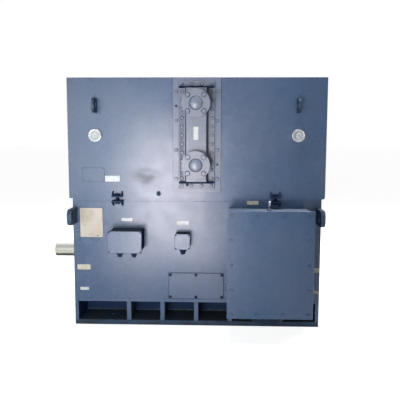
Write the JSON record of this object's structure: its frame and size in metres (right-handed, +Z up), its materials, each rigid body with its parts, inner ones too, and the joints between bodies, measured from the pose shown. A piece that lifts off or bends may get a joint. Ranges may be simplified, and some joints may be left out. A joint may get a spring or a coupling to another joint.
{
  "type": "induction motor",
  "caption": "Foot mounted box frame induction motor with a water cooled air cooler on top, a side terminal box and a plain shaft extension at one end.",
  "frame": {"origin": "centre of the foundation bolt pattern on the floor plane under the feet", "axes": "+Z up, -X out along the shaft extension, -Y to the terminal box side"},
  "size_m": [2.081, 1.568, 1.755],
  "materials": {
    "frame_paint": "gloss slate blue-grey paint, slight orange peel",
    "cooler_paint": "gloss slate blue-grey paint on sheet steel",
    "header_paint": "slate blue-grey paint on cast iron",
    "box_paint": "slate blue-grey paint, fine texture",
    "painted_bolts": "painted over hexagon heads",
    "cast_iron": "machined casting",
    "bearing_steel": "ground bearing steel",
    "cage_brass": "machined brass",
    "lamination_steel": "stacked varnished laminations",
    "winding_copper": "taped and resin filled coils",
    "shaft_steel": "turned bright steel with a film of rust preventive",
    "rotor_bar_metal": "copper bars brazed to end rings",
    "fan_aluminium": "cast aluminium",
    "tube_metal": "finned tubes",
    "tube_sheet_steel": "drilled steel sheet",
    "plug_plastic": "painted over domed plug",
    "dial_face": "off-white dial under a clear window",
    "plug_steel": "black plug",
    "gasket_rubber": "flat rubber gasket",
    "insulator_resin": "cast resin",
    "stud_copper": "tinned copper",
    "bare_steel": "zinc plated steel",
    "gland_metal": "dark gland metal",
    "nameplate_metal": "cream anodised sheet, blank"
  },
  "bodies": {
    "stator": {"foot_rails": "frame_paint", "foot_ribs": "frame_paint", "end_walls": "frame_paint", "side_walls": "frame_paint", "pocket_roofs": "frame_paint", "pocket_back_walls": "frame_paint", "belly_plate": "frame_paint", "core_bulkheads": "frame_paint", "frame_top_plate": "frame_paint", "frame_lifting_lugs": "frame_paint", "inspection_covers": "frame_paint", "inspection_bolts": "painted_bolts", "drive_end_shield": "frame_paint", "rear_end_shield": "frame_paint", "end_shield_bolts": "painted_bolts", "drive_bearing_cap": "frame_paint", "rear_bearing_cap": "frame_paint", "inner_bearing_caps": "cast_iron", "bearing_cap_bolts": "painted_bolts", "bearing_outer_rings": "bearing_steel", "stator_core": "lamination_steel", "stator_winding": "winding_copper", "air_guide": "frame_paint", "cooler_housing": "cooler_paint", "cooler_roof": "cooler_paint", "cooler_duct_plates": "cooler_paint", "cooler_lifting_lugs": "cooler_paint", "cooler_tubes": "tube_metal", "tube_sheets": "tube_sheet_steel", "cooler_end_plate": "cooler_paint", "cooler_bolts": "painted_bolts", "water_header": "header_paint", "return_header": "header_paint", "water_flanges": "header_paint", "flange_plugs": "plug_plastic", "cooler_clamps": "cooler_paint", "clamp_bolts": "painted_bolts", "dial_thermometers": "dial_face", "drain_plugs": "plug_steel", "terminal_box_body": "box_paint", "terminal_box_gasket": "gasket_rubber", "terminal_box_cover": "box_paint", "terminal_cover_bolts": "painted_bolts", "terminal_insulators": "insulator_resin", "terminal_studs": "stud_copper", "cable_entry": "box_paint", "terminal_eye_bolt": "bare_steel", "aux_box_bodies": "box_paint", "aux_box_lids": "box_paint", "cable_glands": "gland_metal", "nameplate": "nameplate_metal"},
    "rotor": {"shaft": "shaft_steel", "rotor_core": "lamination_steel", "rotor_cage": "rotor_bar_metal", "rotor_fan": "fan_aluminium", "bearing_inner_rings": "bearing_steel"},
    "drive_bearing_set": {"drive_bearing_rollers": "bearing_steel", "drive_bearing_cage": "cage_brass"},
    "rear_bearing_set": {"rear_bearing_rollers": "bearing_steel", "rear_bearing_cage": "cage_brass"}
  },
  "joints": [
    {"name": "rotor_spin", "type": "hinge", "parent": "stator", "child": "rotor", "pos_m": [0, 0, 0.45], "axis": [1, 0, 0], "continuous": true},
    {"name": "drive_bearing_set_spin", "type": "hinge", "parent": "stator", "child": "drive_bearing_set", "pos_m": [0, 0, 0.45], "axis": [1, 0, 0], "continuous": true},
    {"name": "rear_bearing_set_spin", "type": "hinge", "parent": "stator", "child": "rear_bearing_set", "pos_m": [0, 0, 0.45], "axis": [1, 0, 0], "continuous": true}
  ],
  "couplings": [
    {"joint": "drive_bearing_set_spin", "follows": "rotor_spin", "ratio": 0.4222},
    {"joint": "rear_bearing_set_spin", "follows": "rotor_spin", "ratio": 0.4222}
  ]
}
